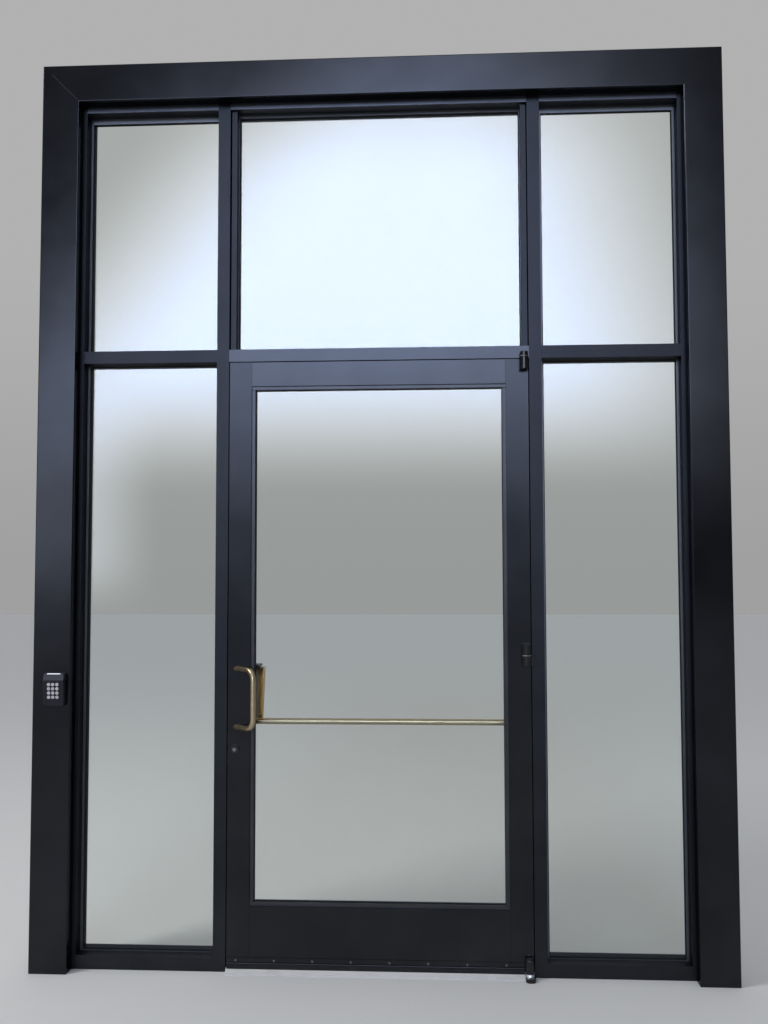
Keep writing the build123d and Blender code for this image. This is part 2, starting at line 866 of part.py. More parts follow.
def lock_and_strike():
    """Lock case with faceplate, cylinder and plug, latch bolt and strike plate."""
    mid = door_thickness / 2
    edge = -leaf_half
    plate = block(
        edge, edge + door_wall, mid - faceplate_width / 2, mid + faceplate_width / 2,
        lock_height - faceplate_height / 2, lock_height + faceplate_height / 2,
    )
    case = block(
        edge + door_wall, edge + case_length, mid - case_depth / 2, mid + case_depth / 2,
        lock_height - case_height / 2, lock_height + case_height / 2,
    )
    way_half = latch_width / 2 + latch_clearance
    way_tall = latch_height / 2 + latch_clearance
    way = block(
        edge - 1, edge + latch_recess + latch_length + 1, mid - way_half, mid + way_half,
        lock_height - way_tall, lock_height + way_tall,
    )
    save("lock_case", plate + case - way)

    nose = edge + latch_recess
    bolt = block(
        nose, nose + latch_length, mid - latch_width / 2, mid + latch_width / 2,
        lock_height - latch_height / 2, lock_height + latch_height / 2,
    )
    bevel = [
        (nose - 1, mid - latch_width / 2 - 1),
        (nose + latch_bevel, mid - latch_width / 2 - 1),
        (nose + latch_bevel, mid - latch_width / 2),
        (nose, mid + latch_width / 2 - 3),
        (nose - 1, mid + latch_width / 2 - 3),
    ]
    wedge = extrude(
        Pos(0, 0, lock_height - latch_height) * make_face(Polyline(*bevel, close=True)),
        amount=2 * latch_height,
    )
    save("latch_bolt", bolt - wedge)

    x = edge + cylinder_inset
    back = mid - case_depth / 2 - faceplate_gap
    body = rod_y(x, 0, back, lock_height, cylinder_radius)
    cone = Plane(origin=(x, 0, lock_height), x_dir=(1, 0, 0), z_dir=(0, -1, 0))
    collar = extrude(cone * Circle(collar_radius), amount=collar_height)
    collar = chamfer(collar.edges().group_by(Axis.Y)[0], collar_taper)
    bore = rod_y(x, -collar_height - 1, back + 1, lock_height, plug_radius + plug_clearance)
    save("lock_cylinder", body + collar - bore)

    front = -collar_height - plug_stand
    plug = rod_y(x, front, back, lock_height, plug_radius)
    plug -= block(
        x - keyway_width / 2, x + keyway_width / 2, front - 1, front + keyway_depth,
        lock_height - keyway_height / 2, lock_height + keyway_height / 2,
    )
    save("cylinder_plug", plug)

    face = -half_opening
    strike = block(
        face - strike_thickness, face, mid - strike_width / 2, mid + strike_width / 2,
        lock_height - strike_length / 2, lock_height + strike_length / 2,
    )
    wide = latch_width / 2 + strike_hole_margin
    high = latch_height / 2 + strike_hole_margin
    strike -= block(
        face - member_wall, face + 1, mid - wide, mid + wide, lock_height - high, lock_height + high
    )
    save("latch_strike", strike)


def exit_paddle():
    """Exit paddle: a hollow wedge on a cross pin, and the base with its lipped hood on the stile."""
    face = door_thickness
    left = -leaf_half + paddle_inset
    right = left + paddle_width
    outline = [
        (face + paddle_foot_gap, paddle_low),
        (face + paddle_foot_gap + paddle_foot_depth, paddle_low),
        (face + paddle_foot_gap + paddle_head_depth, paddle_high),
        (face + paddle_foot_gap + paddle_head_depth - paddle_rim, paddle_high),
        (face + paddle_foot_gap, paddle_low + paddle_heel),
    ]
    wall = paddle_wall
    inner = [
        (face, paddle_low + wall),
        (face + paddle_foot_gap + paddle_foot_depth - wall, paddle_low + wall),
        (face + paddle_foot_gap + paddle_head_depth - wall, paddle_high - wall),
        (face, paddle_high - wall),
    ]
    wedge = profile_x(outline, left, right) - profile_x(inner, left + wall, right - wall)
    pin_y = face + paddle_foot_gap + paddle_pivot_depth
    pin = rod_x(left + wall / 2, right - wall / 2, pin_y, paddle_pivot_z, paddle_pivot_radius)
    save("paddle", wedge + pin)

    base_left = left + base_inset
    base_right = base_left + base_width
    base = block(base_left, base_right, face, face + base_depth, paddle_low + wall, paddle_high + hood_gap)
    base += block(
        base_left, base_left + hood_width, face, face + hood_depth,
        paddle_high + hood_gap, paddle_high + hood_gap + hood_height,
    )
    base += block(
        base_left, base_left + hood_width, face, face + base_depth,
        paddle_high - hood_lap, paddle_high + hood_gap,
    )
    ear = block(
        base_left, base_right, face + base_depth, pin_y + paddle_pivot_radius + base_ear_wall,
        paddle_pivot_z - base_ear, paddle_pivot_z + base_ear,
    )
    base += ear
    bore = paddle_pivot_radius + paddle_pivot_clearance
    base -= rod_x(base_left - 1, base_right + 1, pin_y, paddle_pivot_z, bore)
    save("paddle_base", base)


def arm_link(x0, y0, x1, y1, z, thickness, eye):
    """A flat link with a round eye at each end."""
    length = ((x1 - x0) ** 2 + (y1 - y0) ** 2) ** 0.5
    turn = degrees(atan2(y1 - y0, x1 - x0))
    flat = Pos(length / 2, 0) * Rectangle(length, arm_width)
    flat += Circle(eye) + Pos(length, 0) * Circle(eye)
    return Pos(x0, y0, z) * Rot(0, 0, turn) * extrude(flat, amount=thickness)


def closer():
    """Surface closer: body on the top rail, two-piece arm and the shoe under the transom bar."""
    face = door_thickness
    body = block(
        closer_lock_end, closer_lock_end + closer_length, face, face + closer_depth,
        closer_low, closer_high,
    )
    body = fillet(body.edges().filter_by(Axis.X).group_by(Axis.Y)[-1], closer_round)
    body += rod(spindle_x, spindle_y, closer_low - closer_cap_drop, closer_low, closer_cap_radius)
    bore = spindle_radius + spindle_clearance
    body -= rod(spindle_x, spindle_y, closer_high - spindle_depth, closer_high + 1, bore)
    save("closer_body", body)

    arm = arm_link(spindle_x, spindle_y, elbow_x, elbow_y, arm_low, arm_thickness, arm_eye_radius)
    arm += rod(spindle_x, spindle_y, closer_high + hub_gap, arm_low, arm_eye_radius)
    arm += rod(spindle_x, spindle_y, closer_high - spindle_depth + pivot_play, arm_low, spindle_radius)
    arm += rod(elbow_x, elbow_y, arm_low, forearm_high, elbow_pin_radius)
    save("closer_arm", arm)

    forearm = arm_link(
        shoe_x, shoe_y, elbow_x, elbow_y, forearm_low, forearm_thickness, forearm_eye_radius
    )
    eyes = (
        (elbow_x, elbow_y, elbow_pin_radius + elbow_clearance),
        (shoe_x, shoe_y, shoe_pin_radius + shoe_pin_clearance),
    )
    for x, y, radius in eyes:
        forearm -= rod(x, y, forearm_low - 1, forearm_high + 1, radius)
    save("closer_forearm", forearm)

    under = opening_height
    shoe = block(
        shoe_x - shoe_length / 2, shoe_x + shoe_length / 2,
        shoe_y - shoe_width / 2, shoe_y + shoe_width / 2, under - shoe_plate, under,
    )
    shoe += rod(shoe_x, shoe_y, forearm_high + pivot_play, under - shoe_plate, shoe_neck_radius)
    shoe += rod(shoe_x, shoe_y, forearm_low, forearm_high + pivot_play, shoe_pin_radius)
    save("closer_shoe", shoe)


def keypad_face_depth(z):
    """How far the keypad's front stands off the casing: deepest at the ridge under the top band."""
    if z > keypad_ridge_z:
        share = (z - keypad_ridge_z) / keypad_band
        return keypad_ridge_depth + share * (keypad_top_depth - keypad_ridge_depth)
    share = (keypad_ridge_z - z) / (keypad_height - keypad_band)
    return keypad_ridge_depth + share * (keypad_bottom_depth - keypad_ridge_depth)


def light_bar(grow):
    """The keypad's light bar, or its pocket when grown; both share the pocket's floor."""
    top = keypad_z + keypad_height / 2 - light_bar_drop
    foot = top - light_bar_height
    wall_y = -casing_depth
    stand = wall_y - keypad_face_depth(top) - light_bar_stand
    seat = wall_y - keypad_face_depth(foot) + light_bar_seat
    half = light_bar_length / 2 + grow
    bar = block(keypad_x - half, keypad_x + half, stand, seat, foot - grow, top + grow)
    return fillet(bar.edges().filter_by(Axis.Y), light_bar_height / 2 - light_bar_flat + grow)


def keypad():
    """Keypad housing with a ridged front, its light bar and twelve round dished keys."""
    wall_y = -casing_depth
    low = keypad_z - keypad_height / 2
    high = keypad_z + keypad_height / 2
    deep = keypad_ridge_depth + 1
    front = Plane(origin=(keypad_x, wall_y, keypad_z), x_dir=(1, 0, 0), z_dir=(0, -1, 0))
    slab = extrude(front * RectangleRounded(keypad_width, keypad_height, keypad_corner), amount=deep)
    outline = [
        (wall_y, low - 1),
        (wall_y - keypad_face_depth(low - 1), low - 1),
        (wall_y - keypad_ridge_depth, keypad_ridge_z),
        (wall_y - keypad_face_depth(high + 1), high + 1),
        (wall_y, high + 1),
    ]
    housing = slab & profile_x(outline, keypad_x - keypad_width, keypad_x + keypad_width)
    fronts = housing.faces().sort_by(Axis.Y)[:2]
    ridge = housing.edges().filter_by(Axis.X).sort_by(Axis.Y)[0]
    rim = [edge for front_face in fronts for edge in front_face.edges() if edge != ridge]
    housing = chamfer(rim, keypad_edge)

    names = ["1", "2", "3", "4", "5", "6", "7", "8", "9", "star", "0", "hash"]
    centre_x = keypad_x + key_block_x
    centre_z = keypad_z + key_block_z
    dish = Cone(key_dish_radius, key_dish_floor, key_dish_depth, align=SEATED)
    wells = []
    for row in range(key_rows):
        for column in range(key_columns):
            x = centre_x + (column - (key_columns - 1) / 2) * key_pitch_x
            z = centre_z - (row - (key_rows - 1) / 2) * key_pitch_z
            face = wall_y - keypad_face_depth(z)
            inner = face + key_depth - key_stand
            key = rod_y(x, face - key_stand, inner, z, key_radius)
            key = chamfer(key.edges().group_by(Axis.Y)[0], key_rim_chamfer)
            top = Plane(origin=(x, face - key_stand, z), x_dir=(1, 0, 0), z_dir=(0, 1, 0))
            key -= top * dish
            save(f"key_{names[row * key_columns + column]}", key)
            well = rod_y(x, face - keypad_ridge_depth, inner + key_travel + key_clearance, z,
                         key_radius + key_clearance)
            wells.append(well)
    for well in wells:
        housing -= well

    save("keypad_housing", housing - light_bar(light_bar_clearance))
    save("keypad_light_bar", light_bar(0))


def main():
    os.makedirs("parts", exist_ok=True)
    frame_members()
    transom_fillers()
    fixed_lights()
    threshold()
    casings()
    door_stops()
    frame_pivots()
    door_pivots()
    door_leaf()
    door_sweep()
    pull_handle()
    push_bar()
    lock_and_strike()
    exit_paddle()
    closer()
    keypad()


main()
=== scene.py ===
"""Looks of the glass entrance door: finishes, screw heads, key legends, light and camera.

Metres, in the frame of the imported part: the floor under the door is z = 0, the frame's street
face is y = 0 and +Y goes indoors.
"""

import math

import bpy
from mathutils import Matrix, Vector


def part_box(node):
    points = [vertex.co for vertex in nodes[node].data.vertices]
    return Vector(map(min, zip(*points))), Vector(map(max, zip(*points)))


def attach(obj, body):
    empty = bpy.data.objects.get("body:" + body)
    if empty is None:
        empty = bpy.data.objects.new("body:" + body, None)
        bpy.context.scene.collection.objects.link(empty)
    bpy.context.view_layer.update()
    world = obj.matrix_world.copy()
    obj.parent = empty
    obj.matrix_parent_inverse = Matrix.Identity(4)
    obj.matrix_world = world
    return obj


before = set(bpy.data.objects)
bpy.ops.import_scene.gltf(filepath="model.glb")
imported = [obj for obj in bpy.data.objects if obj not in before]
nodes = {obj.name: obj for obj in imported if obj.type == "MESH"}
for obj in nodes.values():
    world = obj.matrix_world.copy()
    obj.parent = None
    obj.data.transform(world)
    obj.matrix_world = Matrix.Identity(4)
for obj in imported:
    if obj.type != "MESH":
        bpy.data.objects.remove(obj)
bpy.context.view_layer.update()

# Light: a pale backdrop behind the door, one tall soft window of sky facing it and a high lamp.
# A span is the pair of limits between which a part of the light comes in or dies away.
backdrop_level = 0.44
horizon_level = 0.35
horizon_span = (-0.02, 0.30)
front_level = 0.09
front_span = (-0.45, 0.05)
least_ahead = 0.05
overhead_level = 0.55
overhead_span = (0.35, 0.9)
window_level = 7.4
window_colour = (0.80, 0.98, 1.42)
window_shift = 0.14
window_lean = 0.25
window_half_width = 0.40
window_spring = 0.10
window_crown = 0.70
window_edge_span = (0.55, 1.2)
window_fade = 0.60
window_fade_span = (0.38, 0.52)
window_foot = 0.223
window_skirt = 0.153
glow_level = 2.7
glow_tint = 0.4
glow_outer_span = (-0.85, -0.60)
glow_inner_span = (-0.36, -0.27)
glow_foot_span = (-0.05, 0.02)
glow_top_span = (0.06, 0.24)
lamp_place = (-4.0, -2.2, 5.5)
lamp_aim = (0.0, 0.0, 0.8)
lamp_width = 1.6
lamp_height = 1.0
lamp_power = 150.0
floor_colour = (0.72, 0.72, 0.71)
floor_reach = 30.0
floor_drop = 0.0005

# Camera
camera_place = (0.22373, -3.63573, 1.38330)
camera_turn = (1.6281665, 0.0020366, 0.0558770)
camera_lens = 36.41
camera_sensor = 36.0
camera_far = 200.0

# Finishes: a grain or stroke is drawn out along the axes with the small numbers
upright_grain = (900.0, 900.0, 6.0)
crosswise_grain = (6.0, 900.0, 900.0)
wave_grain = (2.2, 2.2, 1.1)
steel_stroke = (300, 300, 40)
plug_stroke = (300, 40, 300)
bar_stroke = (300, 300, 60)
paddle_stroke = (400, 30, 30)
frame_colour = (0.0225, 0.0235, 0.027)
leaf_colour = (0.0262, 0.0272, 0.0300)
bar_colour = (0.034, 0.035, 0.038)
# The head faces' colour is about three times that of the other bronze: a painted sheen standing in
# for reflected sky
head_painted_sheen_colour = (0.075, 0.078, 0.090)
casing_colour = (0.0255, 0.027, 0.031)
# The glazing stops' colour is several times that of the other bronze: a painted sheen standing in
# for the bright surroundings their lips reflect
stop_painted_sheen_colour = (0.12, 0.124, 0.132)
# The beads' colour is twice the leaf's bronze: a painted sheen
bead_painted_sheen_colour = (0.052, 0.053, 0.057)
dust_colour = (0.16, 0.15, 0.135)

# Heights over which dust on the metal, film on the glass, grime in the flutes and the keypad's
# gloss change, and the distances from the threshold's middle over which its wear does
dust_span = (0.0, 0.35)
film_span = (0.1, 1.4)
flute_span = (0.0119, 0.0126)
gloss_span = (1.006, 1.009)
worn_span = (0.2, 0.55)

# Directions that screw heads face
leftward = (-1, 0, 0)
rightward = (1, 0, 0)
streetward = (0, -1, 0)
indoors = (0, 1, 0)
downward = (0, 0, -1)
upward = (0, 0, 1)

# Screw heads: an inset is from an end of the piece that is screwed, and a drop from its top.
# Sides, depths and places are in the shared frame.
recess_share = 0.18
recess_reach = 0.50
flat_head_rise = 0.0005
head_segments = 24
sharp_angle = math.radians(35)
sweep_head_radius = 0.0042
sweep_screw_count = 8
sweep_screw_pitch = 0.1334
sweep_screw_inset = 0.0314
sweep_screw_drop = 0.0105
sweep_plate = 0.0024
lock_head_radius = 0.0042
faceplate_screw_inset = 0.010
strike_screw_inset = 0.013
closer_head_radius = 0.0045
closer_screw_inset = 0.014
closer_screw_drop = 0.020
valve_radius = 0.0035
valve_depths = (0.060, 0.076)
shoe_head_radius = 0.0038
shoe_screw_inset = 0.008
shoe_plate = 0.006
spindle_head_radius = 0.0055
spindle_head_place = (0.28235, 0.07545, 2.101)
elbow_head_radius = 0.0048
elbow_head_place = (0.06035, 0.18745, 2.112)
base_head_radius = 0.0034
base_screw_sides = (0.5075, 0.5245)
base_screw_depth = -0.0415
base_plate_top = 0.013
saddle_head_radius = 0.0042
saddle_screw_sides = (-0.43, -0.145, 0.145, 0.43)
saddle_screw_depth = 0.0548

# Washer rims of the pivots, and the coned ring as pairs of radius and height
pivot_axis = (0.51435, -0.01905)
ring_segments = 64
rim_bore = 0.0092
rim_flat = 0.0006
rim_edge = 0.0002
top_rim = {"outer": 0.0140, "low": 2.1360, "high": 2.1374}
middle_rim = {"outer": 0.0155, "low": 1.0924, "high": 1.0938}
cone_outline = [(0.0127, 0.0080), (0.0131, 0.0080), (0.0162, 0.0016), (0.0164, 0.0), (0.0127, 0.0)]

# Key legends
legend_height = 0.0034
legend_relief = 0.00004
legend_steps = 3
star_share = 0.7
key_dish_depth = 0.0008
key_names = ["1", "2", "3", "4", "5", "6", "7", "8", "9", "star", "0", "hash"]
key_signs = "123456789*0#"


class Wire:
    """A shader socket that takes part in Python sums."""

    def __init__(self, tree, socket):
        self.tree = tree
        self.socket = socket

    def math(self, operation, *others, clamp=False):
        return self.row(operation, (self, *others), clamp)

    def row(self, operation, values, clamp=False):
        node = self.tree.nodes.new("ShaderNodeMath")
        node.operation = operation
        node.use_clamp = clamp
        for slot, value in zip(node.inputs, values):
            if isinstance(value, Wire):
                self.tree.links.new(value.socket, slot)
            else:
                slot.default_value = value
        return Wire(self.tree, node.outputs[0])

    def __add__(self, other):
        return self.math("ADD", other)

    def __radd__(self, other):
        return self.row("ADD", (other, self))

    def __sub__(self, other):
        return self.math("SUBTRACT", other)

    def __rsub__(self, other):
        return self.row("SUBTRACT", (other, self))

    def __mul__(self, other):
        return self.math("MULTIPLY", other)

    def __rmul__(self, other):
        return self.row("MULTIPLY", (other, self))

    def __truediv__(self, other):
        return self.math("DIVIDE", other)

    def __rtruediv__(self, other):
        return self.row("DIVIDE", (other, self))

    def __neg__(self):
        return self.math("MULTIPLY", -1.0)

    def __abs__(self):
        return self.math("ABSOLUTE")

    def clamp(self):
        return self.math("ADD", 0.0, clamp=True)


class Graph:
    """A node tree with one way to add any node."""

    def __init__(self, tree):
        self.tree = tree

    def node(self, kind, settings=None, sockets=None, out=0):
        node = self.tree.nodes.new(kind)
        for key, value in (settings or {}).items():
            if key == "stops":
                ramp = node.color_ramp.elements
                while len(ramp) < len(value):
                    ramp.new(0.5)
                for element, (place, colour) in zip(ramp, value):
                    element.position = place
                    element.color = (*colour, 1.0)
            else:
                setattr(node, key, value)
        for key, value in (sockets or {}).items():
            self.feed(node.inputs[key], value)
        return Wire(self.tree, node.outputs[out])

    def feed(self, socket, value):
        if isinstance(value, Wire):
            self.tree.links.new(value.socket, socket)
        elif socket.type == "RGBA" and len(value) == 3:
            socket.default_value = (*value, 1.0)
        else:
            socket.default_value = value

    def noise(self, place, scale, detail=3.0, rough=0.5):
        settings = {"noise_dimensions": "3D"}
        sockets = {"Vector": place, "Scale": scale, "Detail": detail, "Roughness": rough}
        return self.node("ShaderNodeTexNoise", settings, sockets)

    def stretched(self, place, scale):
        return self.node("ShaderNodeVectorMath", {"operation": "MULTIPLY"}, {0: place, 1: scale})

    def axes(self, vector):
        split = self.node("ShaderNodeSeparateXYZ", None, {0: vector})
        return [Wire(self.tree, out) for out in split.socket.node.outputs]

    def ramp(self, value, stops):
        return self.node("ShaderNodeValToRGB", {"stops": stops}, {"Fac": value})

    def blend(self, share, first, second):
        settings = {"data_type": "RGBA"}
        return self.node("ShaderNodeMix", settings, {"Factor": share, 6: first, 7: second}, out=2)

    def rise(self, value, low, high):
        """0 below low, 1 above high, and smooth between them."""
        settings = {"interpolation_type": "SMOOTHSTEP"}
        sockets = {"Value": value, "From Min": low, "From Max": high}
        return self.node("ShaderNodeMapRange", settings, sockets)


class Finish(Graph):
    """A material with one Principled shader."""

    def __init__(self, name):
        self.material = bpy.data.materials.new(name)
        self.material.use_nodes = True
        super().__init__(self.material.node_tree)
        self.shader = self.tree.nodes["Principled BSDF"]
        self.place = self.node("ShaderNodeTexCoord", out=3)

    def set(self, **sockets):
        for key, value in sockets.items():
            self.feed(self.shader.inputs[key.replace("_", " ")], value)
        return self

    def bump(self, height, strength, distance):
        sockets = {"Height": height, "Strength": strength, "Distance": distance}
        normal = self.node("ShaderNodeBump", None, sockets)
        return self.set(Normal=normal)


def shades(colour, spread, low=0.3, high=0.7):
    """Ramp stops from a colour a share darker to one a share lighter."""
    darker = [channel * (1 - spread) for channel in colour]
    lighter = [channel * (1 + spread) for channel in colour]
    return [(low, darker), (high, lighter)]


def anodised(name, colour, rough, grain, waves=0.0):
    """Dark anodised aluminium: die lines along the member, soft mottling, dust near the floor."""
    finish = Finish(name)
    height_up = finish.axes(finish.place)[2]
    lines = finish.noise(finish.stretched(finish.place, grain), 1.0, 2.0)
    mottle = finish.noise(finish.place, 5.0, 4.0, 0.6)
    speck = finish.noise(finish.place, 90.0, 3.0, 0.6)
    low = 1 - finish.rise(height_up, *dust_span)
    dust = (low * (speck * 0.8 + mottle * 0.5 - 0.25)).clamp() * 0.10
    finish.set(
        Base_Color=finish.blend(dust, finish.ramp(mottle, shades(colour, 0.14)), dust_colour),
        Metallic=0.9 - dust * 0.8,
        Roughness=rough + mottle * 0.06 + lines * 0.04 + dust * 0.3,
        Specular_Tint=(0.45, 0.459, 0.486),
    )
    relief = lines * 0.6 + speck * 0.4
    if not waves:
        return finish.bump(relief, 0.25, 0.0002).material
    slow = finish.noise(finish.stretched(finish.place, wave_grain), 1.0, 1.0)
    return finish.bump(relief * 0.002 + slow * waves, 1.0, 0.01).material


def clear_glass():
    """Clear float glass, faintly filmed with dust towards its foot."""
    finish = Finish("clear_glass")
    height_up = finish.axes(finish.place)[2]
    film = finish.noise(finish.place, 7.0, 4.0, 0.6) * (1 - finish.rise(height_up, *film_span))
    finish.set(
        Base_Color=finish.blend(film * 0.5, (0.93, 0.975, 0.955), (0.84, 0.85, 0.83)),
        Roughness=0.0,
        IOR=1.5,
        Transmission_Weight=1.0,
    )
    return finish.material


def black_rubber():
    """Extruded rubber with a fine grain, greyed here and there by dust."""
    finish = Finish("black_rubber")
    grain = finish.noise(finish.place, 900.0, 2.0)
    dust = finish.noise(finish.place, 30.0, 4.0, 0.7)
    tone = finish.ramp(dust, [(0.35, (0.006, 0.006, 0.007)), (0.8, (0.020, 0.019, 0.019))])
    finish.set(
        Base_Color=tone,
        Roughness=0.62 + dust * 0.2,
        Specular_IOR_Level=0.25,
    )
    return finish.bump(grain, 0.3, 0.0003).material


def pile_strip():
    """Short grey brush pile."""
    finish = Finish("pile_strip")
    hairs = finish.noise(finish.stretched(finish.place, (1.0, 0.15, 1.0)), 2600.0, 2.0)
    finish.set(
        Base_Color=finish.ramp(hairs, [(0.3, (0.07, 0.07, 0.075)), (0.75, (0.24, 0.24, 0.25))]),
        Roughness=0.95,
    )
    return finish.bump(hairs, 0.8, 0.001).material


def mill_aluminium():
    """Walked-on mill aluminium: scuffs, a bright worn middle and grime in the flutes."""
    finish = Finish("mill_aluminium")
    x, _, z = finish.axes(finish.place)
    scuff = finish.noise(finish.stretched(finish.place, (14.0, 90.0, 90.0)), 1.0, 5.0, 0.7)
    worn = 1 - finish.rise(abs(x), *worn_span)
    flute = 1 - finish.rise(z, *flute_span)
    grime = finish.noise(finish.place, 22.0, 5.0, 0.65)
    tone = finish.ramp(grime, [(0.32, (0.66, 0.65, 0.64)), (0.62, (0.84, 0.83, 0.82))])
    trodden = finish.blend(worn * 0.6, tone, (0.92, 0.915, 0.90))
    finish.set(
        Base_Color=finish.blend(flute * 0.4, trodden, (0.30, 0.29, 0.27)),
        Metallic=0.10,
        Roughness=0.50 - worn * 0.08 + scuff * 0.12,
    )
    return finish.bump(scuff, 0.3, 0.0003).material


def painted(name, colour, rough, gloss=0.5):
    """Baked paint with a fine orange-peel grain and rubbed high spots."""
    finish = Finish(name)
    peel = finish.noise(finish.place, 400.0, 2.0)
    wear = finish.noise(finish.place, 35.0, 4.0, 0.65)
    rubbed = [channel * 1.6 + 0.004 for channel in colour]
    finish.set(
        Base_Color=finish.ramp(wear, [(0.35, colour), (0.8, rubbed)]),
        Roughness=rough + wear * 0.12,
        Specular_IOR_Level=gloss,
    )
    return finish.bump(peel, 0.35, 0.0002).material


def brushed_metal(name, dark, light, rough, stroke):
    """Bright metal brushed along one direction, with faint stains."""
    finish = Finish(name)
    lines = finish.noise(finish.stretched(finish.place, stroke), 1.0, 3.0, 0.6)
    stain = finish.noise(finish.place, 45.0, 4.0, 0.6)
    finish.set(
        Base_Color=finish.ramp(stain * 0.6 + lines * 0.4, [(0.3, dark), (0.65, light)]),
        Metallic=1.0,
        Roughness=rough + lines * 0.1 + stain * 0.05,
    )
    return finish.bump(lines, 0.2, 0.0002).material


def moulded(name, colour, rough):
    """Moulded plastic with a fine spark-eroded grain and a trace of grease."""
    finish = Finish(name)
    grit = finish.noise(finish.place, 1400.0, 2.0)
    grease = finish.noise(finish.place, 60.0, 3.0)
    greased = [channel * 1.25 + 0.002 for channel in colour]
    finish.set(
        Base_Color=finish.ramp(grease, [(0.3, colour), (0.8, greased)]),
        Roughness=rough + grease * 0.12,
    )
    return finish.bump(grit, 0.4, 0.0002).material


def keypad_shell():
    """Black moulded plastic, dull round the keys and glossier on the sloping band above them."""
    finish = Finish("keypad_black")
    height_up = finish.axes(finish.place)[2]
    grit = finish.noise(finish.place, 1400.0, 2.0)
    grease = finish.noise(finish.place, 60.0, 3.0)
    band = finish.rise(height_up, *gloss_span)
    tone = finish.ramp(grease, [(0.3, (0.008, 0.008, 0.011)), (0.8, (0.013, 0.013, 0.018))])
    finish.set(
        Base_Color=tone,
        Roughness=0.45 + grease * 0.1,
        Specular_IOR_Level=0.22,
        Coat_Weight=band * 0.55,
        Coat_Roughness=0.40,
    )
    return finish.bump(grit, 0.4, 0.0002).material


def lit_plastic():
    """White translucent plastic with a faint glow."""
    finish = Finish("light_bar_white")
    cloud = finish.noise(finish.place, 120.0, 2.0)
    colour = finish.ramp(cloud, [(0.3, (0.66, 0.64, 0.72)), (0.7, (0.76, 0.74, 0.82))])
    finish.set(
        Base_Color=colour,
        Roughness=0.28,
        Emission_Color=colour,
        Emission_Strength=0.95,
    )
    return finish.material


finishes = {
    "frame_upright": anodised("bronze_frame_upright", frame_colour, 0.32, upright_grain),
    "frame_crosswise": anodised("bronze_frame_crosswise", frame_colour, 0.32, crosswise_grain),
    "leaf_upright": anodised("bronze_leaf_upright", leaf_colour, 0.19, upright_grain),
    "leaf_crosswise": anodised("bronze_leaf_crosswise", leaf_colour, 0.19, crosswise_grain),
    "bar": anodised("bronze_bar", bar_colour, 0.19, crosswise_grain),
    # The heads' finish is the same bronze made lighter, a painted sheen of reflected sky
    "heads": anodised("bronze_heads_painted_sheen", head_painted_sheen_colour, 0.30, crosswise_grain),
    "casing": anodised("bronze_casing", casing_colour, 0.11, upright_grain, waves=0.10),
    # The stops' finish is the same bronze made much lighter, a painted sheen
    "stops": anodised("bronze_stops_painted_sheen", stop_painted_sheen_colour, 0.35, upright_grain),
    # The beads' finish is the leaf's bronze made lighter, a painted sheen
    "beads": anodised("bronze_beads_painted_sheen", bead_painted_sheen_colour, 0.28, crosswise_grain),
    "glass": clear_glass(),
    "rubber": black_rubber(),
    "pile": pile_strip(),
    "mill": mill_aluminium(),
    "hardware": painted("black_hardware", (0.006, 0.006, 0.007), 0.16, gloss=0.4),
    "steel": brushed_metal(
        "bright_steel", (0.42, 0.42, 0.43), (0.66, 0.66, 0.67), 0.25, steel_stroke
    ),
    "washer": brushed_metal(
        "washer_steel", (0.70, 0.70, 0.71), (0.86, 0.86, 0.87), 0.42, steel_stroke
    ),
    "dull_steel": brushed_metal(
        "dull_steel", (0.12, 0.12, 0.12), (0.24, 0.24, 0.24), 0.30, plug_stroke
    ),
    "champagne": brushed_metal(
        "champagne", (0.42, 0.33, 0.205), (0.52, 0.425, 0.28), 0.28, bar_stroke
    ),
    "brass": brushed_metal(
        "brass_paddle", (0.40, 0.21, 0.055), (0.48, 0.28, 0.09), 0.34, paddle_stroke
    ),
    "base_black": painted("paddle_base_black", (0.014, 0.011, 0.010), 0.45, gloss=0.3),
    "closer": painted("closer_bronze", (0.035, 0.031, 0.028), 0.4),
    "keypad": keypad_shell(),
    "light_bar": lit_plastic(),
    "key": moulded("key_grey", (0.47, 0.44, 0.45), 0.5),
    "legend": moulded("key_legend", (0.14, 0.14, 0.15), 0.5),
}

dressed = {
    "frame_upright": [
        "side_jambs", "left_mullion", "right_mullion", "transom_fillers", "door_stops",
    ],
    "frame_crosswise": ["side_rails", "side_sills"],
    # Heads, stops and beads take bronze finishes lightened as painted sheen
    "heads": ["frame_heads"],
    "stops": ["glazing_stops"],
    "beads": ["door_beads"],
    "leaf_upright": ["lock_stile", "hinge_stile"],
    "leaf_crosswise": ["bottom_rail", "sweep_retainer"],
    "bar": ["transom_bar", "top_rail"],
    "casing": ["head_casing", "left_casing", "right_casing"],
    "glass": ["side_panes", "transom_pane", "door_pane"],
    "rubber": ["glazing_gaskets", "door_gaskets", "sweep_blade"],
    "pile": ["door_weatherstrip"],
    "mill": ["threshold"],
    "hardware": ["pivot_brackets", "floor_pivot_base", "door_pivots", "lock_cylinder"],
    "steel": ["latch_strike", "lock_case", "latch_bolt"],
    "washer": ["pivot_washers"],
    "dull_steel": ["cylinder_plug"],
    "champagne": ["pull_handle", "push_bar"],
    "brass": ["paddle"],
    "base_black": ["paddle_base"],
    "closer": ["closer_body", "closer_arm", "closer_forearm", "closer_shoe"],
    "keypad": ["keypad_housing"],
    "light_bar": ["keypad_light_bar"],
    "key": [f"key_{name}" for name in key_names],
}


def dress_nodes():
    """Each node of the frame in its finish."""
    for finish, names in dressed.items():
        for name in names:
            for slot in nodes[name].material_slots:
                slot.material = finishes[finish]


def add_piece(name, mesh, finish, body):
    """A piece of the scene in a finish, riding on a body."""
    piece = bpy.data.objects.new(name, mesh)
    bpy.context.scene.collection.objects.link(piece)
    if not mesh.materials:
        mesh.materials.append(finishes[finish])
    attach(piece, body)
    return piece


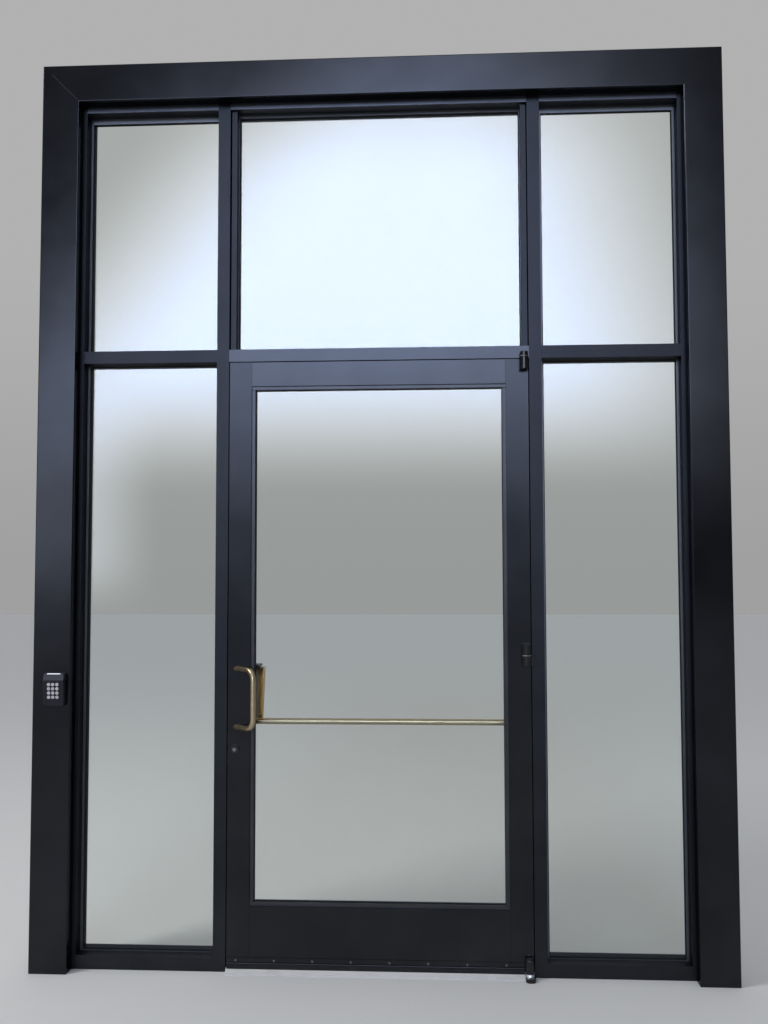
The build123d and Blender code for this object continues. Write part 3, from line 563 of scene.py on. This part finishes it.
def turned(name, outline, segments=head_segments, hollow=False):
    """A turned mesh; the arms of a driver recess reach out where an outline row names a reach."""
    points = []
    for radius, height, reach in outline:
        for step in range(segments):
            far = reach if reach and step % (segments // 4) == 0 else radius
            angle = 2 * math.pi * step / segments
            points.append((far * math.cos(angle), far * math.sin(angle), height))
    faces = []
    for start in range(0, len(points) if hollow else len(points) - segments, segments):
        outer = (start + segments) % len(points)
        for step in range(segments):
            after = (step + 1) % segments
            faces.append((start + step, outer + step, outer + after, start + after))
    if not hollow:
        faces.append(tuple(range(segments)))
        faces.append(tuple(range(len(points) - 1, len(points) - segments - 1, -1)))
    mesh = bpy.data.meshes.new(name)
    mesh.from_pydata(points, [], faces)
    mesh.shade_smooth()
    mesh.set_sharp_from_angle(angle=sharp_angle)
    return mesh


def pan_head(name, radius):
    """A domed screw head with a cross recess, seated on z = 0."""
    return turned(name, [
        (radius * 0.14, radius * 0.28, radius * recess_reach * 0.8),
        (radius * recess_share, radius * 0.56, radius * recess_reach),
        (radius * 0.64, radius * 0.50, 0.0),
        (radius * 0.88, radius * 0.33, 0.0),
        (radius, radius * 0.08, 0.0),
        (radius, 0.0, 0.0),
    ])


def flat_head(name, radius):
    """A nearly flush screw head with a cross recess, seated on z = 0."""
    return turned(name, [
        (radius * 0.14, flat_head_rise * 0.2, radius * recess_reach * 0.9),
        (radius * recess_share, flat_head_rise, radius * recess_reach),
        (radius * 0.92, flat_head_rise, 0.0),
        (radius, flat_head_rise * 0.4, 0.0),
        (radius, 0.0, 0.0),
    ])


def set_screws(name, mesh, places, normal, finish, body):
    """Copies of one head, each seated at a place and facing along a normal."""
    turn = Vector(normal).to_track_quat("Z", "Y").to_matrix().to_4x4()
    for number, place in enumerate(places, 1):
        piece = add_piece(f"{name}_{number}", mesh, finish, body)
        piece.matrix_world = Matrix.Translation(place) @ turn


def ends(low, high, inset):
    """Two places on an axis, each at an inset from one end of a piece."""
    return low + inset, high - inset


def door_screws():
    """Screw heads of the sweep, the lock's faceplate and the strike."""
    low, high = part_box("sweep_retainer")
    row = [low.x + sweep_screw_inset + sweep_screw_pitch * step for step in range(sweep_screw_count)]
    places = [(x, high.y - sweep_plate, high.z - sweep_screw_drop) for x in row]
    head = pan_head("sweep_head", sweep_head_radius)
    set_screws("sweep_screw", head, places, streetward, "dull_steel", "door")

    head = flat_head("lock_head", lock_head_radius)
    low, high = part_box("lock_case")
    middle = (low.y + high.y) / 2
    places = [(low.x, middle, z) for z in ends(low.z, high.z, faceplate_screw_inset)]
    set_screws("faceplate_screw", head, places, leftward, "steel", "door")
    low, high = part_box("latch_strike")
    middle = (low.y + high.y) / 2
    places = [(high.x, middle, z) for z in ends(low.z, high.z, strike_screw_inset)]
    set_screws("strike_screw", head, places, rightward, "steel", "frame")


def closer_screws():
    """Screw heads and valves of the closer, and the heads of its shoe, spindle and elbow."""
    low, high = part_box("closer_body")
    level = high.z - closer_screw_drop
    places = [(x, high.y, level) for x in ends(low.x, high.x, closer_screw_inset)]
    head = pan_head("closer_head", closer_head_radius)
    set_screws("closer_screw", head, places, indoors, "dull_steel", "door")
    places = [(low.x, y, level) for y in valve_depths]
    head = flat_head("valve_head", valve_radius)
    set_screws("closer_valve", head, places, leftward, "steel", "door")

    low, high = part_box("closer_shoe")
    middle = (low.y + high.y) / 2
    places = [(x, middle, high.z - shoe_plate) for x in ends(low.x, high.x, shoe_screw_inset)]
    head = pan_head("shoe_head", shoe_head_radius)
    set_screws("shoe_screw", head, places, downward, "dull_steel", "frame")
    head = flat_head("spindle_head", spindle_head_radius)
    set_screws("spindle_screw", head, [spindle_head_place], upward, "steel", "closer_arm")
    head = pan_head("elbow_head", elbow_head_radius)
    set_screws("elbow_rivet", head, [elbow_head_place], upward, "steel", "closer_arm")


def floor_screws():
    """Screw heads of the floor pivot's base and the threshold."""
    places = [(x, base_screw_depth, base_plate_top) for x in base_screw_sides]
    head = flat_head("base_head", base_head_radius)
    set_screws("floor_pivot_screw", head, places, upward, "steel", "frame")
    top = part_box("threshold")[1].z
    places = [(x, saddle_screw_depth, top) for x in saddle_screw_sides]
    head = flat_head("saddle_head", saddle_head_radius)
    set_screws("threshold_screw", head, places, upward, "steel", "frame")


def pivot_ring(name, outline, low):
    """A bright ring round the pivots' axis, with its foot at a height."""
    mesh = turned(name, outline, segments=ring_segments, hollow=True)
    ring = add_piece(name, mesh, "washer", "frame")
    ring.location = (*pivot_axis, low)


def washer_rim(name, outer, low, high):
    """Bright rim of a pivot washer: a flat ring with a rounded edge."""
    deep = high - low
    pivot_ring(name, [
        (rim_bore, deep, 0.0),
        (outer - rim_flat, deep, 0.0),
        (outer - rim_edge, deep * 0.85, 0.0),
        (outer, deep * 0.5, 0.0),
        (outer - rim_edge, deep * 0.15, 0.0),
        (outer - rim_flat, 0.0, 0.0),
        (rim_bore, 0.0, 0.0),
    ], low)


def pivot_rings():
    """Washer rims of the top and middle pivots and the coned ring on the floor pivot's base."""
    washer_rim("top_washer_rim", **top_rim)
    washer_rim("middle_washer_rim", **middle_rim)
    cone = [(radius, height, 0.0) for radius, height in cone_outline]
    pivot_ring("floor_pivot_ring", cone, base_plate_top)


def key_legends():
    """Plain digits, star and hash in the dishes of the keys."""
    facing = Matrix.Rotation(math.radians(90), 4, "X")
    for name, sign in zip(key_names, key_signs):
        curve = bpy.data.curves.new("sign", "FONT")
        curve.body = sign
        curve.resolution_u = legend_steps
        curve.extrude = legend_relief
        writing = bpy.data.objects.new("sign", curve)
        mesh = bpy.data.meshes.new_from_object(writing)
        bpy.data.objects.remove(writing)
        across = [vertex.co.x for vertex in mesh.vertices]
        upward = [vertex.co.y for vertex in mesh.vertices]
        middle = Vector((max(across) + min(across), max(upward) + min(upward), 0)) / 2
        tallest = legend_height / (max(upward) - min(upward))
        size = tallest if sign != "*" else tallest * star_share
        low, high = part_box(f"key_{name}")
        dish = Vector(((low[0] + high[0]) / 2, low[1] + key_dish_depth, (low[2] + high[2]) / 2))
        scale = Matrix.Diagonal((size, size, 1, 1))
        mesh.transform(Matrix.Translation(dish) @ facing @ scale @ Matrix.Translation(-middle))
        mesh.name = f"legend_{name}"
        add_piece(f"legend_{name}", mesh, "legend", f"key_{name}")


def pale_floor():
    """A wide pale floor under the door."""
    mesh = bpy.data.meshes.new("floor")
    signs = [(-1, -1), (1, -1), (1, 1), (-1, 1)]
    corners = [(floor_reach * across, floor_reach * along, 0) for across, along in signs]
    mesh.from_pydata(corners, [], [(0, 1, 2, 3)])
    paint = Finish("pale_floor")
    paint.set(Base_Color=floor_colour, Roughness=0.95)
    mesh.materials.append(paint.material)
    floor = bpy.data.objects.new("floor", mesh)
    bpy.context.scene.collection.objects.link(floor)
    floor.location.z = -floor_drop


def studio_light():
    """Pale world that looks plain, but lights and mirrors as a dim room with a tall soft window."""
    world = bpy.data.worlds.new("studio")
    bpy.context.scene.world = world
    world.use_nodes = True
    sky = Graph(world.node_tree)
    background = world.node_tree.nodes["Background"]
    x, y, z = sky.axes(sky.node("ShaderNodeTexCoord", out=0))
    front = sky.rise(-y, *front_span)
    ahead = (-y).math("MAXIMUM", least_ahead)
    lift = z / ahead
    side = x / ahead
    across = abs((side + window_shift - lift * window_lean) / window_half_width)
    crown = (lift - window_spring).math("MAXIMUM", 0.0) / window_crown
    foot = sky.rise(lift, window_foot - window_skirt, window_foot)
    faded = 1 - sky.rise(lift, *window_fade_span) * window_fade
    window = (1 - sky.rise(across + crown, *window_edge_span)) * foot * faded * front
    low_left = (1 - sky.rise(side, *glow_inner_span)) * sky.rise(side, *glow_outer_span)
    low_band = sky.rise(lift, *glow_foot_span) * (1 - sky.rise(lift, *glow_top_span))
    glow = low_left * low_band * front
    overhead = sky.rise(z, *overhead_span)
    back = sky.rise(z, *horizon_span) * (backdrop_level - horizon_level) + horizon_level
    dim = front_level + overhead * (overhead_level - front_level)
    lit = back + front * (dim - back) + window * window_level + glow * glow_level

    rays = ["Is Camera Ray", "Is Transmission Ray", "Diffuse Depth", "Glossy Depth"]
    direct, through, diffuse, glossy = [sky.node("ShaderNodeLightPath", out=name) for name in rays]
    seen = (direct + through * (1 - (diffuse + glossy).clamp())).clamp()
    tint = (window + glow * glow_tint).clamp() * (1 - seen)
    sky.feed(background.inputs["Color"], sky.blend(tint, (1.0, 1.0, 1.0), window_colour))
    sky.feed(background.inputs["Strength"], lit + seen * (back - lit))

    light = bpy.data.lights.new("high_left_lamp", "AREA")
    light.shape = "RECTANGLE"
    light.size = lamp_width
    light.size_y = lamp_height
    light.energy = lamp_power
    lamp = bpy.data.objects.new("high_left_lamp", light)
    bpy.context.scene.collection.objects.link(lamp)
    lamp.location = lamp_place
    aim = Vector(lamp_aim) - Vector(lamp_place)
    lamp.rotation_euler = aim.to_track_quat("-Z", "Y").to_euler()


def place_camera():
    """A camera on the street side, a little right of the door's middle."""
    lens = bpy.data.cameras.new("camera")
    lens.lens = camera_lens
    lens.sensor_width = camera_sensor
    lens.clip_end = camera_far
    camera = bpy.data.objects.new("camera", lens)
    bpy.context.scene.collection.objects.link(camera)
    camera.location = camera_place
    camera.rotation_euler = camera_turn
    bpy.context.scene.camera = camera
    bpy.context.scene.view_settings.view_transform = "Standard"


dress_nodes()
door_screws()
closer_screws()
floor_screws()
pivot_rings()
key_legends()
pale_floor()
studio_light()
place_camera()
